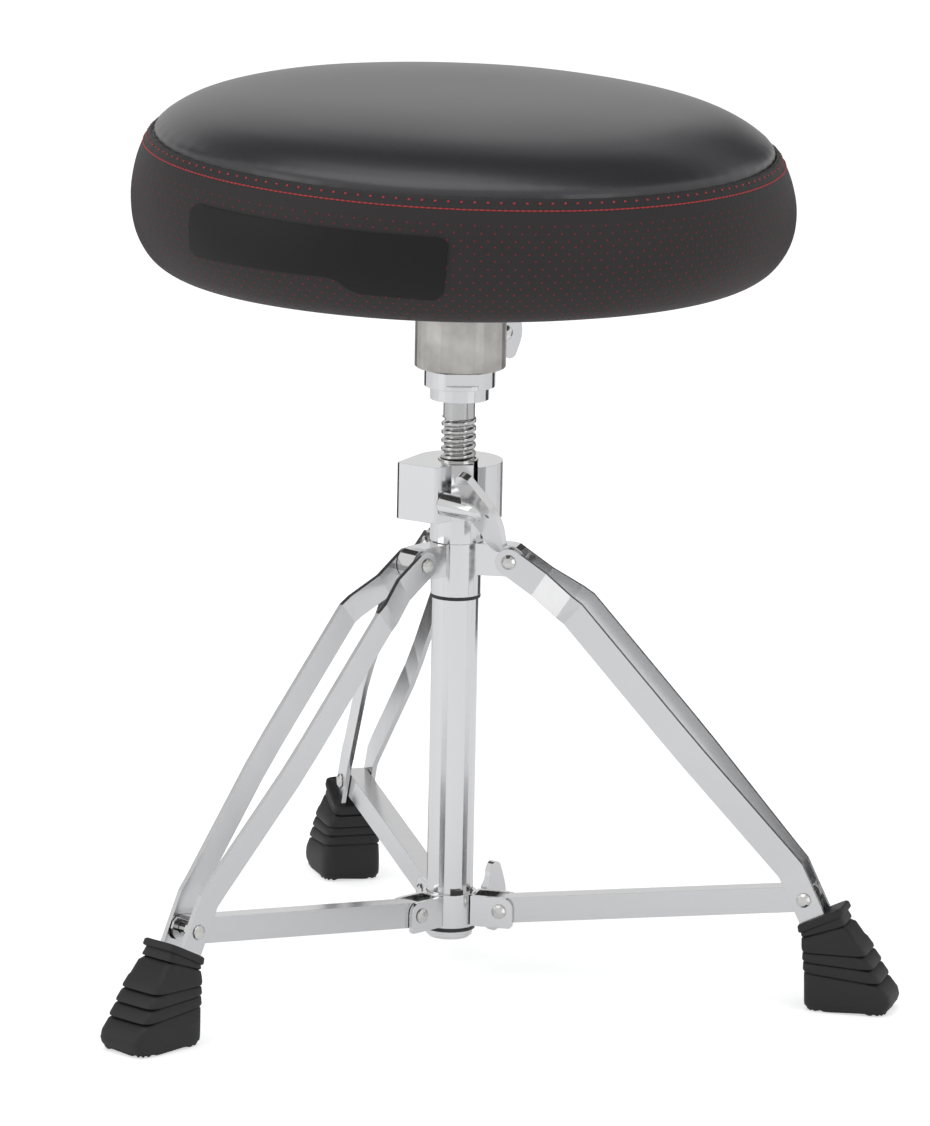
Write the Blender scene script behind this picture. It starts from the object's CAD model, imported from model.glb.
"""A drum throne: a round padded seat on a height screw, over a folding tripod with double strip legs."""

import math

import bmesh
import bpy
from mathutils import Matrix, Vector, noise


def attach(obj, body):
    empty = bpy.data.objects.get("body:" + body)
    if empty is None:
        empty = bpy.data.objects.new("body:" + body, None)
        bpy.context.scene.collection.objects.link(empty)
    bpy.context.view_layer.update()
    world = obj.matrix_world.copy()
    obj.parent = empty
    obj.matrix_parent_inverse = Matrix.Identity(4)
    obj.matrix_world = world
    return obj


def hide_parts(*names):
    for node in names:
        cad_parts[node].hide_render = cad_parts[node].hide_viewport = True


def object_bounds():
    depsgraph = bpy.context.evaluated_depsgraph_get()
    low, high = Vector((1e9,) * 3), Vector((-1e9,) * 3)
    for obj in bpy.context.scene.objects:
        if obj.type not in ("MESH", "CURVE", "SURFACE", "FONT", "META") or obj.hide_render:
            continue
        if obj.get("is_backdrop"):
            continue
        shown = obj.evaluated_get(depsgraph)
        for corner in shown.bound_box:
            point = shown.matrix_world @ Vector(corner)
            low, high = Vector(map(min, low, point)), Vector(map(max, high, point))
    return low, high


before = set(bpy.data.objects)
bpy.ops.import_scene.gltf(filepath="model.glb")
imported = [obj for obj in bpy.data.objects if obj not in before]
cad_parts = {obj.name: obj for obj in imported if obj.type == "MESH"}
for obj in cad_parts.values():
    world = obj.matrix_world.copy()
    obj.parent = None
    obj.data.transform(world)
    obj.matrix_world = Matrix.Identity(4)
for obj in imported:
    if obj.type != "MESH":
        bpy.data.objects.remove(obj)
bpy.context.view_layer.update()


# ---------------------------------------------------------------- the studio
# A long lens well back from the throne, a little above the seat's underside and leaning very slightly.
# The floor is a pale sheet, and the light is one broad soft box overhead with a softer one at each side. Black
# cards stand round it, for the dark bands in the bright metal and the dark shoulders of the seat.

POST = Vector((-0.036, 0.0, 0.0))
LENS = 294.3
DISTANCE = 5.0
ELEVATION = math.radians(12.64)
AZIMUTH = math.radians(14.1)
LEAN = math.radians(1.15)
AIM_HEIGHT = 0.25
AIM_SHIFT = Vector((0.0044, -0.0195, 0.0))

camera_data = bpy.data.cameras.new("studio_camera")
camera_data.lens = LENS
camera_data.sensor_width = 36.0
camera_data.clip_end = 60.0
camera = bpy.data.objects.new("studio_camera", camera_data)
bpy.context.scene.collection.objects.link(camera)
toward = Vector(
    (
        math.sin(AZIMUTH) * math.cos(ELEVATION),
        -math.cos(AZIMUTH) * math.cos(ELEVATION),
        math.sin(ELEVATION),
    )
)
turn = (-toward).to_track_quat("-Z", "Y").to_matrix().to_4x4() @ Matrix.Rotation(LEAN, 4, "Z")
aim = POST + Vector((0.0, 0.0, AIM_HEIGHT)) + turn.to_3x3() @ AIM_SHIFT
camera.matrix_world = Matrix.Translation(aim + toward * DISTANCE) @ turn
bpy.context.scene.camera = camera
bpy.context.scene.view_settings.view_transform = "Standard"

world = bpy.data.worlds.new("studio")
bpy.context.scene.world = world
world.use_nodes = True
nodes = world.node_tree.nodes
links = world.node_tree.links
nodes.clear()
seen = nodes.new("ShaderNodeBackground")
seen.inputs["Strength"].default_value = 1.0
fill_light = nodes.new("ShaderNodeBackground")
fill_light.inputs["Color"].default_value = (0.97, 0.98, 1.0, 1.0)
fill_light.inputs["Strength"].default_value = 0.5
path = nodes.new("ShaderNodeLightPath")
either = nodes.new("ShaderNodeMath")
either.operation = "MAXIMUM"
every = nodes.new("ShaderNodeMath")
every.operation = "MAXIMUM"
mixed = nodes.new("ShaderNodeMixShader")
sky = nodes.new("ShaderNodeOutputWorld")
links.new(path.outputs["Is Camera Ray"], either.inputs[0])
links.new(path.outputs["Is Glossy Ray"], either.inputs[1])
links.new(either.outputs[0], every.inputs[0])
links.new(path.outputs["Is Transmission Ray"], every.inputs[1])
links.new(every.outputs[0], mixed.inputs["Fac"])
links.new(fill_light.outputs[0], mixed.inputs[1])
links.new(seen.outputs[0], mixed.inputs[2])
links.new(mixed.outputs[0], sky.inputs["Surface"])


def soft_box(name, place, target, width, height, power):
    light = bpy.data.lights.new(name, "AREA")
    light.shape = "RECTANGLE"
    light.size = width
    light.size_y = height
    light.energy = power
    holder = bpy.data.objects.new(name, light)
    bpy.context.scene.collection.objects.link(holder)
    holder.location = place
    holder.rotation_mode = "QUATERNION"
    holder.rotation_quaternion = (Vector(target) - Vector(place)).to_track_quat("-Z", "Y")


soft_box("box_overhead", (-0.2, -0.2, 1.9), (0.0, 0.0, 0.3), 1.6, 1.6, 9.0)
soft_box("box_left", (-1.7, -1.3, 0.9), (0.0, 0.0, 0.25), 0.9, 1.2, 4.0)
soft_box("box_right", (1.8, -1.0, 0.8), (0.0, 0.0, 0.25), 0.7, 1.2, 3.0)


def dark_card(name, place, target, width, height):
    """A black card that shows only where a surface reflects it."""
    bm = bmesh.new()
    bmesh.ops.create_grid(bm, x_segments=1, y_segments=1, size=0.5)
    bmesh.ops.scale(bm, verts=bm.verts, vec=(width, height, 1.0))
    mesh = bpy.data.meshes.new(name)
    bm.to_mesh(mesh)
    bm.free()
    card = bpy.data.objects.new(name, mesh)
    bpy.context.scene.collection.objects.link(card)
    card.location = place
    card.rotation_mode = "QUATERNION"
    card.rotation_quaternion = (Vector(target) - Vector(place)).to_track_quat("-Z", "Y")
    card.visible_camera = False
    card.visible_diffuse = False
    card.visible_shadow = False
    card.visible_transmission = False
    black = bpy.data.materials.new(name)
    black.use_nodes = True
    black.node_tree.nodes["Principled BSDF"].inputs["Base Color"].default_value = (0.02, 0.02, 0.02, 1.0)
    mesh.materials.append(black)
    card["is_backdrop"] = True


dark_card("card_left", (-1.3, 0.4, 1.5), (0.0, 0.0, 0.25), 0.5, 1.6)
dark_card("card_right", (1.5, -1.6, 0.6), (0.0, 0.0, 0.25), 0.28, 2.0)
dark_card("card_back", (0.55, 2.5, 0.95), (0.0, 0.0, 0.15), 0.8, 0.5)
dark_card("card_over", (-0.05, 0.64, 1.75), (0.0, 0.0, 0.45), 2.8, 1.35)
dark_card("card_shoulder", (0.38, 2.45, 1.36), (0.0, 0.0, 0.45), 1.1, 0.9)
dark_card("low_card_right", (0.29, 0.75, 0.15), (0.0, 0.0, 0.15), 0.30, 0.42)
dark_card("low_card_left", (-0.60, 0.52, 0.15), (0.0, 0.0, 0.15), 0.30, 0.42)
dark_card("low_card_side", (0.87, -0.25, 0.15), (0.0, 0.0, 0.15), 0.13, 0.42)

FLOOR_HALF = 9.0
FLOOR_LEVEL = -0.0006
PAPER_GLOW = 0.22
PAPER_GLOW_SEEN = 0.36

floor_corners = [(x * FLOOR_HALF, y * FLOOR_HALF, FLOOR_LEVEL) for x, y in ((-1, -1), (1, -1), (1, 1), (-1, 1))]
floor_mesh = bpy.data.meshes.new("floor")
floor_mesh.from_pydata(floor_corners, [], [(0, 1, 2, 3)])
floor = bpy.data.objects.new("floor", floor_mesh)
bpy.context.scene.collection.objects.link(floor)
paper = bpy.data.materials.new("white_paper")
paper.use_nodes = True
paper_shader = paper.node_tree.nodes["Principled BSDF"]
paper_shader.inputs["Base Color"].default_value = (0.97, 0.97, 0.97, 1.0)
paper_shader.inputs["Roughness"].default_value = 0.9
paper_shader.inputs["Specular IOR Level"].default_value = 0.0
paper_shader.inputs["Emission Color"].default_value = (1.0, 1.0, 1.0, 1.0)
paper_nodes = paper.node_tree.nodes
paper_links = paper.node_tree.links
paper_path = paper_nodes.new("ShaderNodeLightPath")
paper_glow = paper_nodes.new("ShaderNodeMath")
paper_glow.operation = "MULTIPLY_ADD"
paper_glow.inputs[1].default_value = PAPER_GLOW_SEEN
paper_glow.inputs[2].default_value = PAPER_GLOW
paper_links.new(paper_path.outputs["Is Camera Ray"], paper_glow.inputs[0])
paper_links.new(paper_glow.outputs[0], paper_shader.inputs["Emission Strength"])
floor_mesh.materials.append(paper)
floor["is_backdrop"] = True


# ---------------------------------------------------------------- the cushion
# A moulded foam pad under a sewn vinyl cover. A smooth top panel is stitched to a perforated side band, and the
# band is pulled under and stapled to the plywood board. The profile is in millimetres, as radius and height,
# from the board up and over to the middle of the top.


def vinyl(name, colour, roughness):
    material = bpy.data.materials.new(name)
    material.use_nodes = True
    shader = material.node_tree.nodes["Principled BSDF"]
    shader.inputs["Base Color"].default_value = (*colour, 1.0)
    shader.inputs["Roughness"].default_value = roughness
    return material, shader, material.node_tree.nodes, material.node_tree.links


def grain(nodes, links, shader, scale, depth, stretch=(1.0, 1.0, 1.0), source="Object", detail=3.0):
    """Fine relief on a surface: a noise on the piece's own coordinates, fed to the shader as a bump."""
    place = nodes.new("ShaderNodeTexCoord")
    spread = nodes.new("ShaderNodeMapping")
    spread.inputs["Scale"].default_value = stretch
    fine = nodes.new("ShaderNodeTexNoise")
    fine.inputs["Scale"].default_value = scale
    fine.inputs["Detail"].default_value = detail
    bump = nodes.new("ShaderNodeBump")
    bump.inputs["Strength"].default_value = 0.6
    bump.inputs["Distance"].default_value = depth
    links.new(place.outputs[source], spread.inputs["Vector"])
    links.new(spread.outputs["Vector"], fine.inputs["Vector"])
    links.new(fine.outputs["Fac"], bump.inputs["Height"])
    links.new(bump.outputs["Normal"], shader.inputs["Normal"])
    return fine


top_vinyl, shader, nodes, links = vinyl("top_panel_vinyl", (0.026, 0.0243, 0.0285), 0.32)
shader.inputs["Specular IOR Level"].default_value = 0.68
grain(nodes, links, shader, 900.0, 0.00012)
band_vinyl, shader, nodes, links = vinyl("side_band_vinyl", (0.022, 0.0190, 0.0198), 0.58)
shader.inputs["Specular IOR Level"].default_value = 0.35
grain(nodes, links, shader, 800.0, 0.0004, (1.0, 0.28, 1.0), "UV")

UNDER = [(0.0, 406.1), (150.3, 406.1), (150.3, 394.6)]
BAND = [
    (154.0, 394.0),
    (159.0, 394.5),
    (164.0, 396.6),
    (168.8, 400.2),
    (172.8, 405.2),
    (176.2, 411.6),
    (178.3, 418.6),
    (179.2, 426.0),
    (179.2, 433.0),
    (178.2, 440.6),
    (176.3, 448.4),
    (173.6, 455.6),
    (171.4, 459.9),
    (170.3, 462.0),
    (169.4, 462.9),
    (168.2, 462.7),
]
CROWN = [
    (167.6, 461.9),
    (167.3, 462.9),
    (166.8, 464.7),
    (165.4, 466.9),
    (162.2, 469.8),
    (156.0, 474.0),
    (148.0, 478.0),
    (138.0, 481.4),
    (124.0, 484.8),
    (106.0, 487.7),
    (84.0, 490.1),
    (58.0, 491.7),
    (30.0, 492.4),
    (0.0, 492.5),
]


def eased(points, pieces):
    """A smooth curve through the points, with some short pieces between each two."""
    made = []
    for i in range(len(points) - 1):
        a = Vector(points[max(i - 1, 0)])
        b = Vector(points[i])
        c = Vector(points[i + 1])
        d = Vector(points[min(i + 2, len(points) - 1)])
        for j in range(pieces):
            t = j / pieces
            square = (2 * a - 5 * b + 4 * c - d) * t * t
            cube = (3 * b - a - 3 * c + d) * t**3
            made.append(0.5 * (2 * b + (c - a) * t + square + cube))
    made.append(Vector(points[-1]))
    return [p / 1000.0 for p in made]


band_line = eased(BAND, 8)
crown_line = eased(CROWN, 5)
crown_line[-1] = Vector((0.0, CROWN[-1][1] / 1000.0))
cover_line = [Vector(p) / 1000.0 for p in UNDER] + band_line + crown_line
COVER_STEPS = 288
BAND_RADIUS = 0.178
SEAM_HEIGHT = 0.4628
SEAM_TILT = 0.0038
SEAM_RADIUS = 0.17
HIGH_SIDE = math.radians(194.1)
TILT_STARTS = 0.398
TILT_SPAN = 0.058
PULLS_ROUND = 72.0
PULL_DEPTH = 0.00022
PULL_REACH = 0.006
SWELL_DEPTH = 0.0005


def sewn_off_level(radius, height, angle):
    """The seam runs a few millimetres higher on one side of the seat than on the other."""
    share = min(1.0, max(0.0, (height - TILT_STARTS) / TILT_SPAN))
    return SEAM_TILT * share * share * (3.0 - 2.0 * share) * radius / SEAM_RADIUS * math.cos(angle - HIGH_SIDE)


def pucker(radius, height, angle):
    """How far the cover stands off its plain shape, from stitch pulls at the seam and swells over the foam."""
    near = math.exp(-(((height - SEAM_HEIGHT) / PULL_REACH) ** 2))
    pull = -PULL_DEPTH * near * (0.5 + 0.5 * math.cos(angle * PULLS_ROUND))
    swell = noise.noise(Vector((math.cos(angle) * radius, math.sin(angle) * radius, height)) * 14.0)
    return pull + SWELL_DEPTH * swell * min(1.0, radius / 0.02)


bm = bmesh.new()
uv = bm.loops.layers.uv.new("cover")
rings = []
run = 0.0
for i, spot in enumerate(cover_line):
    run += (spot - cover_line[i - 1]).length if i else 0.0
    if spot.x < 1e-6:
        rings.append(([bm.verts.new(POST + Vector((0.0, 0.0, spot.y)))], run))
        continue
    before = cover_line[max(i - 1, 0)]
    after = cover_line[min(i + 1, len(cover_line) - 1)]
    along = (after - before).normalized()
    ring = []
    for k in range(COVER_STEPS):
        angle = math.tau * k / COVER_STEPS
        stand = pucker(spot.x, spot.y, angle) if i > len(UNDER) else 0.0
        radius = spot.x + along.y * stand
        height = spot.y - along.x * stand + sewn_off_level(spot.x, spot.y, angle)
        ring.append(bm.verts.new(POST + Vector((radius * math.cos(angle), radius * math.sin(angle), height))))
    rings.append((ring, run))
for (low, low_run), (high, high_run) in zip(rings, rings[1:]):
    for k in range(COVER_STEPS):
        n = (k + 1) % COVER_STEPS
        if len(low) == 1:
            face = bm.faces.new((low[0], high[n], high[k]))
            spots = ((k, low_run), (k + 1, high_run), (k, high_run))
        elif len(high) == 1:
            face = bm.faces.new((low[k], low[n], high[0]))
            spots = ((k, low_run), (k + 1, low_run), (k, high_run))
        else:
            face = bm.faces.new((low[k], low[n], high[n], high[k]))
            spots = ((k, low_run), (k + 1, low_run), (k + 1, high_run), (k, high_run))
        for loop, (step, length) in zip(face.loops, spots):
            loop[uv].uv = (step / COVER_STEPS * math.tau * BAND_RADIUS, length)
        face.smooth = True
        face.material_index = 1 if high_run > rings[-len(crown_line)][1] else 0
bmesh.ops.recalc_face_normals(bm, faces=bm.faces)
cushion_mesh = bpy.data.meshes.new("cushion")
bm.to_mesh(cushion_mesh)
bm.free()
cushion_mesh.materials.append(band_vinyl)
cushion_mesh.materials.append(top_vinyl)
cushion = bpy.data.objects.new("cushion", cushion_mesh)
bpy.context.scene.collection.objects.link(cushion)
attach(cushion, "seat")
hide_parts("seat_cushion")


# ---------------------------------------------------------------- stitching and perforations
# Dark red thread in two rows below the seam: short top stitches on the edge, then a lock-stitched line.
# The band is punched all over with small holes in staggered rows. Red cloth behind it shows in each as a disc.


def on_band(height):
    """The band's radius at a height, and the slope of its outward face as (out, up)."""
    for a, b in zip(band_line, band_line[1:]):
        if a.y <= height <= b.y and b.y > a.y and a.x > 0.1585:
            share = (height - a.y) / (b.y - a.y)
            along = (b - a).normalized()
            return a.x + (b.x - a.x) * share, (along.y, -along.x)
    return band_line[-4].x, (1.0, 0.0)


def spot_on_band(angle, height, proud):
    """A place on the band, the way that the band faces there, and the way round the seat."""
    radius, (out, up) = on_band(height)
    facing = Vector((out * math.cos(angle), out * math.sin(angle), up))
    middle = POST + Vector((radius * math.cos(angle), radius * math.sin(angle), height))
    middle.z += sewn_off_level(radius, height, angle)
    place = middle + facing * (pucker(radius, height, angle) + proud)
    return place, facing, Vector((-math.sin(angle), math.cos(angle), 0.0))


def repeated(name, spots, shape, sizes, material):
    """One small shape at every spot, laid along the surface by Geometry Nodes, as a plain mesh object."""
    mesh = bpy.data.meshes.new(name)
    mesh.from_pydata([s[0] for s in spots], [], [])
    for label, index in (("facing", 1), ("along", 2)):
        layer = mesh.attributes.new(label, "FLOAT_VECTOR", "POINT")
        layer.data.foreach_set("vector", [c for s in spots for c in s[index]])
    holder = bpy.data.objects.new(name + "_spots", mesh)
    bpy.context.scene.collection.objects.link(holder)
    tree = bpy.data.node_groups.new(name, "GeometryNodeTree")
    tree.interface.new_socket("Spots", in_out="INPUT", socket_type="NodeSocketGeometry")
    size_socket = tree.interface.new_socket("Half sizes", in_out="INPUT", socket_type="NodeSocketVector")
    tree.interface.new_socket("Made", in_out="OUTPUT", socket_type="NodeSocketGeometry")
    n = tree.nodes
    k = tree.links
    given = n.new("NodeGroupInput")
    made = n.new("NodeGroupOutput")
    if shape == "bead":
        unit = n.new("GeometryNodeMeshUVSphere")
        unit.inputs["Segments"].default_value = 8
        unit.inputs["Rings"].default_value = 4
        unit.inputs["Radius"].default_value = 1.0
    else:
        unit = n.new("GeometryNodeMeshCircle")
        unit.fill_type = "NGON"
        unit.inputs["Vertices"].default_value = 8
        unit.inputs["Radius"].default_value = 1.0
    facing = n.new("GeometryNodeInputNamedAttribute")
    facing.data_type = "FLOAT_VECTOR"
    facing.inputs["Name"].default_value = "facing"
    along = n.new("GeometryNodeInputNamedAttribute")
    along.data_type = "FLOAT_VECTOR"
    along.inputs["Name"].default_value = "along"
    axes = n.new("FunctionNodeAxesToRotation")
    axes.primary_axis = "Z"
    axes.secondary_axis = "X"
    each = n.new("GeometryNodeInstanceOnPoints")
    real = n.new("GeometryNodeRealizeInstances")
    coat = n.new("GeometryNodeSetMaterial")
    coat.inputs["Material"].default_value = material
    k.new(given.outputs["Spots"], each.inputs["Points"])
    k.new(unit.outputs["Mesh"], each.inputs["Instance"])
    k.new(facing.outputs["Attribute"], axes.inputs["Primary Axis"])
    k.new(along.outputs["Attribute"], axes.inputs["Secondary Axis"])
    k.new(axes.outputs["Rotation"], each.inputs["Rotation"])
    k.new(given.outputs["Half sizes"], each.inputs["Scale"])
    k.new(each.outputs["Instances"], real.inputs["Geometry"])
    k.new(real.outputs["Geometry"], coat.inputs["Geometry"])
    k.new(coat.outputs["Geometry"], made.inputs["Made"])
    step = holder.modifiers.new(name, "NODES")
    step.node_group = tree
    step[size_socket.identifier] = sizes
    graph = bpy.context.evaluated_depsgraph_get()
    plain = bpy.data.meshes.new_from_object(holder.evaluated_get(graph))
    plain.name = name
    bpy.data.objects.remove(holder)
    piece = bpy.data.objects.new(name, plain)
    bpy.context.scene.collection.objects.link(piece)
    if not plain.materials:
        plain.materials.append(material)
    return piece


red_thread = vinyl("red_thread", (0.42, 0.030, 0.034), 0.6)[0]
red_cloth = vinyl("red_backing", (0.165, 0.013, 0.024), 0.8)[0]

EDGE_STITCHES = 156
EDGE_HEIGHT = 0.4607
edge_spots = [spot_on_band(math.tau * i / EDGE_STITCHES, EDGE_HEIGHT, 0.0001) for i in range(EDGE_STITCHES)]
edge_stitching = repeated("edge_stitching", edge_spots, "bead", (0.00080, 0.00065, 0.00036), red_thread)
LINE_STITCHES = 352
LINE_HEIGHT = 0.4571
line_spots = [spot_on_band(math.tau * i / LINE_STITCHES, LINE_HEIGHT, 0.0001) for i in range(LINE_STITCHES)]
line_stitching = repeated("line_stitching", line_spots, "bead", (0.00156, 0.00046, 0.00034), red_thread)
HOLES_IN_ROW = 156
HOLE_PITCH = 0.00372
HOLES_TOP = 0.4532
HOLES_INNER = 0.1600
row_heights = []
gone = 0.0
downward = band_line[::-1]
for above, below in zip(downward, downward[1:]):
    if above.y > HOLES_TOP or below.x < HOLES_INNER:
        continue
    gone += (above - below).length
    if gone >= HOLE_PITCH:
        gone -= HOLE_PITCH
        row_heights.append(below.y)
hole_spots = []
for row, height in enumerate(row_heights):
    for i in range(HOLES_IN_ROW):
        angle = math.tau * (i + 0.5 * (row % 2)) / HOLES_IN_ROW
        hole_spots.append(spot_on_band(angle, height, 0.00006))
perforations = repeated("perforations", hole_spots, "disc", (0.00062, 0.00062, 1.0), red_cloth)
for piece in (edge_stitching, line_stitching, perforations):
    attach(piece, "seat")


# ---------------------------------------------------------------- the badge patch
# A moulded soft patch glued on the front of the band, left bare. Its lower edge steps down on the right. Each
# corner is an angle round the seat in degrees and a height in millimetres.

PATCH = [
    (-127.6, 443.0),
    (-79.6, 442.6),
    (-78.2, 440.0),
    (-79.0, 412.6),
    (-80.4, 409.4),
    (-93.4, 410.6),
    (-95.2, 412.4),
    (-97.4, 417.0),
    (-99.4, 418.2),
    (-127.4, 417.2),
    (-129.0, 419.2),
    (-129.2, 439.6),
]
PATCH_THICK = 0.0011
PATCH_SUNK = 0.0006
PATCH_LOW, PATCH_HIGH, PATCH_ROW = 411, 447, 3
PATCH_FROM, PATCH_TO = -129, -78
MM_PER_DEGREE = 3.1
CORNER_CUT_MM = 1.0
patch_rubber, shader, nodes, links = vinyl("patch_black", (0.004, 0.004, 0.005), 0.5)
shader.inputs["Specular IOR Level"].default_value = 0.3
grain(nodes, links, shader, 1200.0, 0.00008)
bm = bmesh.new()
corners = []
for i, spot in enumerate(PATCH):
    spot = Vector(spot)
    back = (Vector(PATCH[i - 1]) - spot) * 0.25
    forward = (Vector(PATCH[(i + 1) % len(PATCH)]) - spot) * 0.25
    for reach in (back, forward):
        length = Vector((reach.x * MM_PER_DEGREE, reach.y)).length
        corners.append(spot + reach * min(1.0, CORNER_CUT_MM / length))
bm.faces.new([bm.verts.new((p.x, p.y, 0.0)) for p in corners])
for cut_at in range(PATCH_FROM, PATCH_TO):
    geometry = bm.verts[:] + bm.edges[:] + bm.faces[:]
    bmesh.ops.bisect_plane(bm, geom=geometry, plane_co=(cut_at, 0.0, 0.0), plane_no=(1.0, 0.0, 0.0))
for cut_at in range(PATCH_LOW, PATCH_HIGH, PATCH_ROW):
    geometry = bm.verts[:] + bm.edges[:] + bm.faces[:]
    bmesh.ops.bisect_plane(bm, geom=geometry, plane_co=(0.0, cut_at, 0.0), plane_no=(0.0, 1.0, 0.0))
bmesh.ops.recalc_face_normals(bm, faces=bm.faces)
flat = bm.faces[:]
sides = bmesh.ops.extrude_face_region(bm, geom=flat)
raised = {item for item in sides["geom"] if isinstance(item, bmesh.types.BMVert)}
for vert in bm.verts:
    proud = PATCH_THICK if vert in raised else -PATCH_SUNK
    vert.co = spot_on_band(math.radians(vert.co.x), vert.co.y / 1000.0, proud)[0]
bmesh.ops.recalc_face_normals(bm, faces=bm.faces)
patch_mesh = bpy.data.meshes.new("badge_patch")
bm.to_mesh(patch_mesh)
bm.free()
patch_mesh.materials.append(patch_rubber)
patch = bpy.data.objects.new("badge_patch", patch_mesh)
bpy.context.scene.collection.objects.link(patch)
rounding = patch.modifiers.new("rounding", "BEVEL")
rounding.width = 0.0004
rounding.segments = 2
rounding.limit_method = "ANGLE"
rounding.angle_limit = math.radians(50.0)
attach(patch, "seat")


# ---------------------------------------------------------------- metal finishes
# Bright chrome on the tripod, zinc on the screws and rivets, and a satin cast hub with faint stains. Pressed
# and cast edges are softened by a small radius in the shading.


def metal(name, colour, roughness, edge, streak=0.0):
    material = bpy.data.materials.new(name)
    material.use_nodes = True
    shader = material.node_tree.nodes["Principled BSDF"]
    nodes = material.node_tree.nodes
    links = material.node_tree.links
    shader.inputs["Base Color"].default_value = (*colour, 1.0)
    shader.inputs["Metallic"].default_value = 1.0
    place = nodes.new("ShaderNodeTexCoord")
    patchy = nodes.new("ShaderNodeTexNoise")
    patchy.inputs["Scale"].default_value = 90.0
    patchy.inputs["Detail"].default_value = 4.0
    rough = nodes.new("ShaderNodeMapRange")
    rough.inputs["To Min"].default_value = roughness * 0.8
    rough.inputs["To Max"].default_value = roughness * 1.25
    links.new(place.outputs["Object"], patchy.inputs["Vector"])
    links.new(patchy.outputs["Fac"], rough.inputs["Value"])
    links.new(rough.outputs["Result"], shader.inputs["Roughness"])
    soft = nodes.new("ShaderNodeBevel")
    soft.samples = 4
    soft.inputs["Radius"].default_value = edge
    if streak:
        lines = nodes.new("ShaderNodeMapping")
        lines.inputs["Scale"].default_value = (60.0, 60.0, 2600.0)
        fine = nodes.new("ShaderNodeTexNoise")
        fine.inputs["Scale"].default_value = 1.0
        fine.inputs["Detail"].default_value = 2.0
        bump = nodes.new("ShaderNodeBump")
        bump.inputs["Strength"].default_value = streak
        bump.inputs["Distance"].default_value = 0.0001
        links.new(place.outputs["Object"], lines.inputs["Vector"])
        links.new(lines.outputs["Vector"], fine.inputs["Vector"])
        links.new(fine.outputs["Fac"], bump.inputs["Height"])
        links.new(soft.outputs["Normal"], bump.inputs["Normal"])
        links.new(bump.outputs["Normal"], shader.inputs["Normal"])
    else:
        links.new(soft.outputs["Normal"], shader.inputs["Normal"])
    return material


chrome = metal("bright_chrome", (0.74, 0.74, 0.745), 0.12, 0.0004)
strip_chrome = metal("strip_chrome", (0.68, 0.68, 0.685), 0.20, 0.0003)
zinc = metal("zinc_plate", (0.66, 0.655, 0.64), 0.22, 0.0002)
cast_satin = metal("cast_satin", (0.53, 0.51, 0.485), 0.34, 0.0004, 0.5)
cast_nodes = cast_satin.node_tree.nodes
cast_links = cast_satin.node_tree.links
cast_place = cast_nodes.new("ShaderNodeTexCoord")
cast_stain = cast_nodes.new("ShaderNodeTexNoise")
cast_stain.inputs["Scale"].default_value = 55.0
cast_stain.inputs["Detail"].default_value = 5.0
cast_tones = cast_nodes.new("ShaderNodeValToRGB")
cast_tones.color_ramp.elements[0].position = 0.3
cast_tones.color_ramp.elements[0].color = (0.40, 0.385, 0.36, 1.0)
cast_tones.color_ramp.elements[1].position = 0.7
cast_tones.color_ramp.elements[1].color = (0.62, 0.60, 0.57, 1.0)
cast_links.new(cast_place.outputs["Object"], cast_stain.inputs["Vector"])
cast_links.new(cast_stain.outputs["Fac"], cast_tones.inputs["Fac"])
cast_links.new(cast_tones.outputs["Color"], cast_nodes["Principled BSDF"].inputs["Base Color"])


def coated(node, material):
    """A CAD node shown as it is, with its finish."""
    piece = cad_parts[node]
    piece.data.materials.clear()
    piece.data.materials.append(material)


for node in ("post_tube", "post_end_cap", "upper_bracket", "clamp_casting"):
    coated(node, chrome)
for node in ("lock_ring", "rod_collar", "brace_collar"):
    coated(node, chrome)
for leg in (1, 2, 3):
    for node in (f"leg_{leg}_strip_a", f"leg_{leg}_strip_b", f"brace_{leg}"):
        coated(node, strip_chrome)
for node in ["thrust_washer", "threaded_insert", "clamp_stud", "hub_stud", "collar_stud"]:
    coated(node, zinc)
for node in [f"hub_screw_{n}" for n in (1, 2, 3, 4)]:
    coated(node, zinc)
for node in [f"{kind}_{n}" for kind in ("bracket_pin", "collar_rivet") for n in (1, 2, 3)]:
    coated(node, zinc)
for leg in (1, 2, 3):
    for rivet in ("pivot_rivet_a", "pivot_rivet_b", "brace_rivet"):
        coated(f"leg_{leg}_{rivet}", zinc)
coated("seat_hub", cast_satin)


# ---------------------------------------------------------------- the plywood board
# A disc of thin plywood, stained black and screwed to the hub, with its outer edge hidden by the cover.

plywood, shader, nodes, links = vinyl("plywood", (0.030, 0.027, 0.024), 0.6)
fibre = grain(nodes, links, shader, 34.0, 0.0002, (1.0, 14.0, 1.0), detail=6.0)
tones = nodes.new("ShaderNodeValToRGB")
tones.color_ramp.elements[0].color = (0.021, 0.019, 0.017, 1.0)
tones.color_ramp.elements[1].color = (0.040, 0.036, 0.031, 1.0)
links.new(fibre.outputs["Fac"], tones.inputs["Fac"])
links.new(tones.outputs["Color"], shader.inputs["Base Color"])
coated("seat_board", plywood)


# ---------------------------------------------------------------- black nylon rings and pad
# Moulded nylon: the stop ring under the brace collar, the ring in the bracket's groove and the collar's pad.

nylon, shader, nodes, links = vinyl("black_nylon", (0.02, 0.02, 0.02), 0.45)
grain(nodes, links, shader, 500.0, 0.00005)
for node in ("collar_stop_ring", "bracket_groove_ring", "collar_pad"):
    coated(node, nylon)


# ---------------------------------------------------------------- the height screw
# A steel rod with a rolled thread of rounded ridges, turned down to a plain shank and spigot above it.

THREAD_PITCH = 0.0046
THREAD_CREST = 0.0095
THREAD_ROOT = 0.0078
THREAD_LOW = 0.1280
THREAD_HIGH = 0.3115
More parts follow.
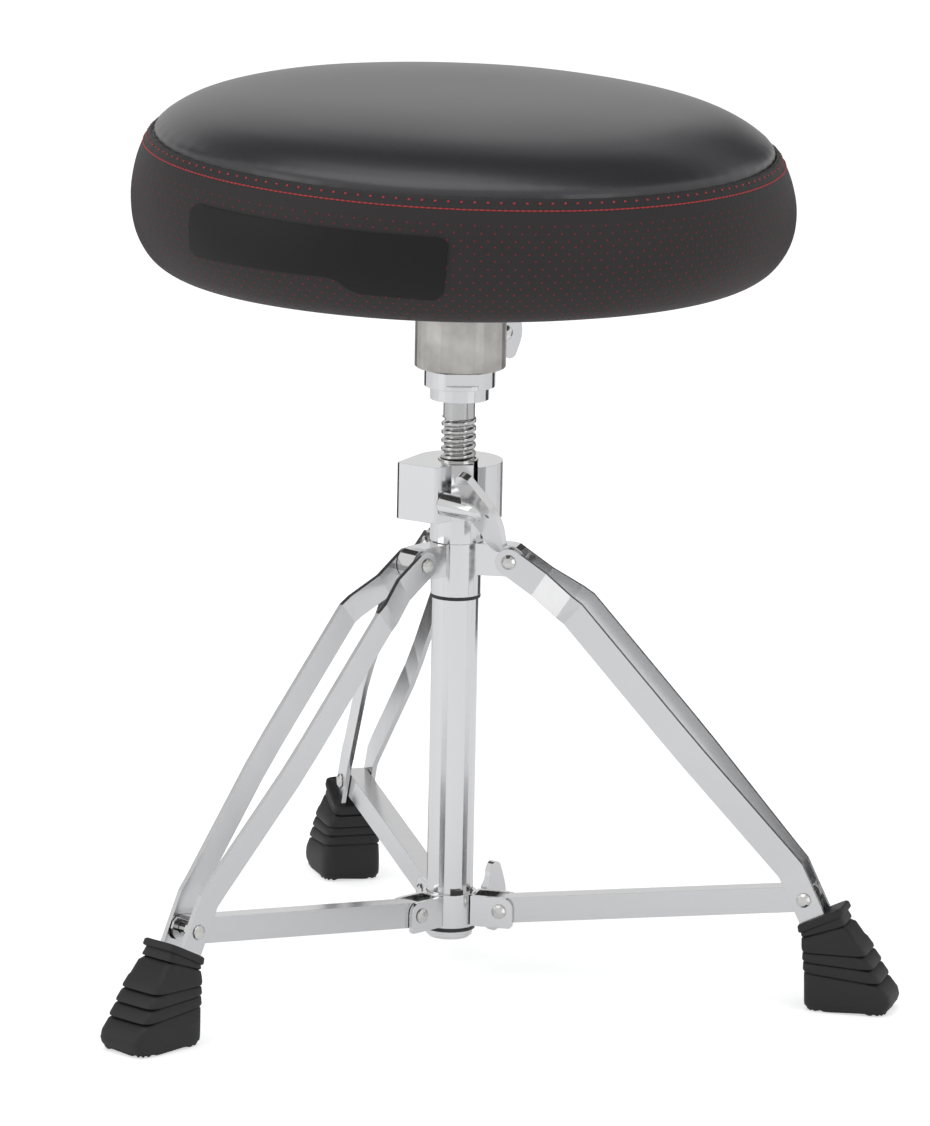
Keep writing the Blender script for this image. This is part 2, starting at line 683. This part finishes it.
# One turn of the thread as (share of the pitch, share of the height from root to crest).
RIDGE = [(0.0, 0.0), (0.14, 0.15), (0.26, 0.85), (0.38, 1.0), (0.62, 1.0), (0.74, 0.85), (0.86, 0.15)]
ROD_STEPS = 40
bm = bmesh.new()
turns = int((THREAD_HIGH - THREAD_LOW) / THREAD_PITCH) + 2
columns = []
for k in range(ROD_STEPS + 1):
    angle = math.tau * k / ROD_STEPS
    column = []
    for lap in range(-1, turns):
        for share, rise in RIDGE:
            height = THREAD_LOW + (lap + share + k / ROD_STEPS) * THREAD_PITCH
            radius = THREAD_ROOT + (THREAD_CREST - THREAD_ROOT) * rise
            if height < THREAD_LOW or height > THREAD_HIGH:
                height = min(max(height, THREAD_LOW), THREAD_HIGH)
                radius = THREAD_ROOT
            spot = Vector((radius * math.cos(angle), radius * math.sin(angle), height))
            column.append(bm.verts.new(POST + spot))
    columns.append(column)
for left, right in zip(columns, columns[1:]):
    for i in range(len(left) - 1):
        bm.faces.new((left[i], right[i], right[i + 1], left[i + 1]))
bmesh.ops.remove_doubles(bm, verts=bm.verts, dist=1e-6)
bmesh.ops.dissolve_degenerate(bm, edges=bm.edges, dist=1e-6)
ends = [e for e in bm.edges if e.is_boundary]
bmesh.ops.holes_fill(bm, edges=ends, sides=0)
bmesh.ops.recalc_face_normals(bm, faces=bm.faces)
for face in bm.faces:
    face.smooth = True
SHANK = [(8.65, 311.2), (8.65, 321.4), (8.0, 321.5), (8.0, 381.0), (7.0, 382.0)]
shank_rings = []
for radius, height in SHANK:
    ring = []
    for k in range(ROD_STEPS):
        angle = math.tau * k / ROD_STEPS
        spot = Vector((radius * math.cos(angle), radius * math.sin(angle), height)) / 1000.0
        ring.append(bm.verts.new(POST + spot))
    shank_rings.append(ring)
for low, high in zip(shank_rings, shank_rings[1:]):
    for k in range(ROD_STEPS):
        n = (k + 1) % ROD_STEPS
        bm.faces.new((low[k], low[n], high[n], high[k]))
bm.faces.new(list(reversed(shank_rings[0])))
bm.faces.new(shank_rings[-1])
rod_mesh = bpy.data.meshes.new("height_screw")
bm.to_mesh(rod_mesh)
bm.free()
rod_mesh.shade_smooth()
rod_mesh.set_sharp_from_angle(angle=math.radians(50.0))
rod_steel = metal("rod_steel", (0.55, 0.55, 0.545), 0.20, 0.0002)
rod_mesh.materials.append(rod_steel)
height_screw = bpy.data.objects.new("height_screw", rod_mesh)
bpy.context.scene.collection.objects.link(height_screw)
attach(height_screw, "rod")
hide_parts("threaded_rod")


# ---------------------------------------------------------------- wing screws
# Die-cast wings, chromed, each pressed on a steel stud: a long-hubbed one on the height clamp and two short
# ones on the seat hub and the brace collar.


WING_THICK = 0.0042
WING_WAIST = 0.0062


def placed(name, bm, lay):
    """A closed shape made from the mesh in hand, laid in its place."""
    bmesh.ops.remove_doubles(bm, verts=bm.verts, dist=1e-6)
    bmesh.ops.recalc_face_normals(bm, faces=bm.faces)
    bm.transform(lay)
    mesh = bpy.data.meshes.new(name)
    bm.to_mesh(mesh)
    bm.free()
    thing = bpy.data.objects.new(name, mesh)
    bpy.context.scene.collection.objects.link(thing)
    return thing


def wing_screw(name, heading, root, height, hub_length, hub_radius, half_span, depth, tilt, pierced):
    """The cast wing: a rounded plate joined to a turned hub, with a hole through the plate if it is pierced.

    It is drawn with Z along the screw, then turned to its heading at its root.
    """
    lay = (
        Matrix.Translation((root[0], root[1], height))
        @ Matrix.Rotation(math.radians(heading), 4, "Z")
        @ Matrix.Rotation(math.radians(90.0), 4, "Y")
        @ Matrix.Rotation(math.radians(tilt), 4, "Z")
    )
    upper = [
        (-0.001, WING_WAIST),
        (depth * 0.10, half_span * 0.50),
        (depth * 0.16, half_span * 0.80),
        (depth * 0.30, half_span * 0.97),
        (depth * 0.48, half_span),
        (depth * 0.66, half_span * 0.92),
        (depth * 0.80, half_span * 0.66),
        (depth * 0.94, half_span * 0.36),
        (depth, half_span * 0.10),
    ]
    outline = upper + [(along, -up) for along, up in reversed(upper)]
    smooth_line = eased([(a * 1000, u * 1000) for a, u in outline], 3)
    bm = bmesh.new()
    face = bm.faces.new([bm.verts.new((-p.y, -WING_THICK / 2, p.x + hub_length)) for p in smooth_line])
    pushed = bmesh.ops.extrude_face_region(bm, geom=[face])
    moved = [item for item in pushed["geom"] if isinstance(item, bmesh.types.BMVert)]
    bmesh.ops.translate(bm, verts=moved, vec=(0.0, WING_THICK, 0.0))
    wing = placed(name, bm, lay)
    hub_line = [
        (0.0, 0.0004),
        (hub_radius * 0.92, 0.0004),
        (hub_radius, 0.0010),
        (hub_radius, hub_length + depth * 0.10),
        (hub_radius * 0.86, hub_length + depth * 0.34),
        (hub_radius * 0.48, hub_length + depth * 0.50),
        (0.0, hub_length + depth * 0.56),
    ]
    bm = bmesh.new()
    points = [bm.verts.new((r, 0.0, z)) for r, z in hub_line]
    edges = [bm.edges.new(pair) for pair in zip(points, points[1:])]
    bmesh.ops.spin(
        bm, geom=points + edges, cent=(0, 0, 0), axis=(0, 0, 1), angle=math.tau, steps=32, use_merge=True
    )
    tools = [("UNION", placed("wing_hub", bm, lay))]
    if pierced:
        bm = bmesh.new()
        bmesh.ops.create_cone(bm, cap_ends=True, segments=20, radius1=pierced, radius2=pierced, depth=0.02)
        out = Matrix.Translation((0.0, 0.0, hub_length + depth * 0.74))
        across = out @ Matrix.Rotation(math.radians(90.0), 4, "X")
        tools.append(("DIFFERENCE", placed("wing_drill", bm, lay @ across)))
    for operation, tool in tools:
        step = wing.modifiers.new(operation, "BOOLEAN")
        step.operation = operation
        step.solver = "EXACT"
        step.object = tool
    graph = bpy.context.evaluated_depsgraph_get()
    wing.data = bpy.data.meshes.new_from_object(wing.evaluated_get(graph))
    wing.data.name = name
    wing.modifiers.clear()
    for operation, tool in tools:
        bpy.data.objects.remove(tool)
    wing.data.materials.clear()
    wing.data.materials.append(chrome)
    wing.data.shade_smooth()
    wing.data.set_sharp_from_angle(angle=math.radians(35.0))
    edge = wing.modifiers.new("rounded", "BEVEL")
    edge.width = 0.0013
    edge.segments = 3
    edge.limit_method = "ANGLE"
    edge.angle_limit = math.radians(50.0)
    return wing


# Each row is the name, body and CAD node, then the heading, root, height and sizes that wing_screw() takes.
WINGS = [
    (
        ("clamp_wing_cast", "clamp_wing_screw", "clamp_wing"),
        (-29.9, (-0.037915, -0.02234), 0.2675, 0.0190, 0.0062, 0.0275, 0.0205, 34.0, 0.0013),
    ),
    (
        ("hub_wing_cast", "hub_wing_screw", "hub_wing"),
        (60.0, (-0.0236, 0.021477), 0.3535, 0.0060, 0.0050, 0.0145, 0.0150, 0.0, 0.0),
    ),
    (
        ("collar_wing_cast", "collar_wing_screw", "collar_wing"),
        (60.0, (-0.028625, 0.012774), 0.0375, 0.0130, 0.0048, 0.0195, 0.0145, 0.0, 0.0),
    ),
]
for (name, body, node), sizes in WINGS:
    wing = wing_screw(name, *sizes)
    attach(wing, body)
    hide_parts(node)


# ---------------------------------------------------------------- rubber feet
# Moulded rubber boots pushed over the ends of the two strips: a collar band, shingled tiers that widen
# towards the toe, and a serrated sole.

rubber, shader, nodes, links = vinyl("black_rubber", (0.010, 0.0097, 0.010), 0.56)
grain(nodes, links, shader, 260.0, 0.00012)
# Each ring is (inner out, inner height, outer out, outer height, half width), in millimetres.
BOOT = [
    (197.4, 45.6, 220.4, 56.8, 12.1),
    (196.8, 44.6, 221.6, 56.4, 12.8),
    (197.2, 42.2, 222.8, 54.2, 12.9),
    (197.6, 41.4, 222.6, 53.4, 12.7),
    (198.7, 41.2, 221.0, 52.4, 11.9),
    (199.0, 40.2, 223.2, 48.8, 12.6),
    (199.2, 39.4, 223.4, 47.9, 12.5),
    (200.1, 39.0, 221.9, 47.2, 11.6),
    (199.2, 38.2, 226.0, 45.6, 12.9),
    (199.4, 36.2, 231.0, 38.6, 14.1),
    (199.4, 35.2, 232.4, 37.6, 14.5),
    (199.7, 33.0, 235.6, 33.4, 15.2),
    (200.1, 32.0, 236.0, 32.2, 15.1),
    (201.0, 31.6, 233.8, 31.6, 14.1),
    (200.2, 30.6, 237.0, 30.0, 15.2),
    (200.2, 27.6, 240.0, 26.0, 15.9),
    (200.7, 27.0, 240.2, 25.0, 15.8),
    (201.5, 26.5, 238.0, 24.4, 14.8),
    (200.8, 25.6, 241.2, 22.8, 15.9),
    (200.8, 22.2, 244.2, 18.6, 16.6),
    (201.3, 21.5, 244.4, 17.6, 16.5),
    (202.1, 20.8, 242.4, 16.8, 15.5),
    (201.5, 19.8, 245.6, 15.2, 16.5),
    (201.8, 12.0, 249.6, 10.2, 17.1),
    (202.0, 5.0, 250.6, 6.4, 17.2),
    (202.2, 2.6, 249.8, 3.6, 17.0),
    (203.2, 1.6, 248.4, 1.8, 16.4),
    (204.0, 0.0, 247.5, 0.0, 16.0),
]
BOOT_STEPS = 72
SOLE_NOTCH = 0.7


def squared(value, power):
    """Pushes a cosine or sine outward, so that a circle becomes a rounded square."""
    return math.copysign(abs(value) ** power, value)


for leg, angle in ((1, 0.0), (2, 120.0), (3, 240.0)):
    about = Matrix.Translation(POST) @ Matrix.Rotation(math.radians(angle), 4, "Z")
    bm = bmesh.new()
    rings = []
    for level, (near, near_up, far, far_up, half) in enumerate(BOOT):
        middle = Vector(((near + far) / 2, 0.0, (near_up + far_up) / 2))
        reach = Vector(((far - near) / 2, 0.0, (far_up - near_up) / 2))
        ring = []
        for k in range(BOOT_STEPS):
            bend = math.tau * (k + 0.5) / BOOT_STEPS
            along = squared(math.cos(bend), 0.32)
            aside = squared(math.sin(bend), 0.30)
            spot = middle + reach * along + Vector((0.0, half * aside, 0.0))
            if level == len(BOOT) - 1 and (k // 2) % 2:
                spot.z += SOLE_NOTCH
            ring.append(bm.verts.new(about @ (spot / 1000.0)))
        rings.append(ring)
    for low, high in zip(rings, rings[1:]):
        for k in range(BOOT_STEPS):
            n = (k + 1) % BOOT_STEPS
            bm.faces.new((low[k], low[n], high[n], high[k]))
    for ring in (rings[0], rings[-1]):
        centre = sum((v.co for v in ring), Vector()) / len(ring)
        if ring is rings[-1]:
            centre.z = 0.0
        middle = bm.verts.new(centre)
        for k in range(BOOT_STEPS):
            bm.faces.new((ring[k], ring[(k + 1) % BOOT_STEPS], middle))
    bmesh.ops.recalc_face_normals(bm, faces=bm.faces)
    mesh = bpy.data.meshes.new(f"boot_{leg}")
    bm.to_mesh(mesh)
    bm.free()
    mesh.shade_smooth()
    mesh.set_sharp_from_angle(angle=math.radians(42.0))
    mesh.materials.append(rubber)
    boot = bpy.data.objects.new(f"boot_{leg}", mesh)
    bpy.context.scene.collection.objects.link(boot)
    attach(boot, f"leg_{leg}")
    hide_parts(f"leg_{leg}_foot")


# ---------------------------------------------------------------- sizes

low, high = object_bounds()
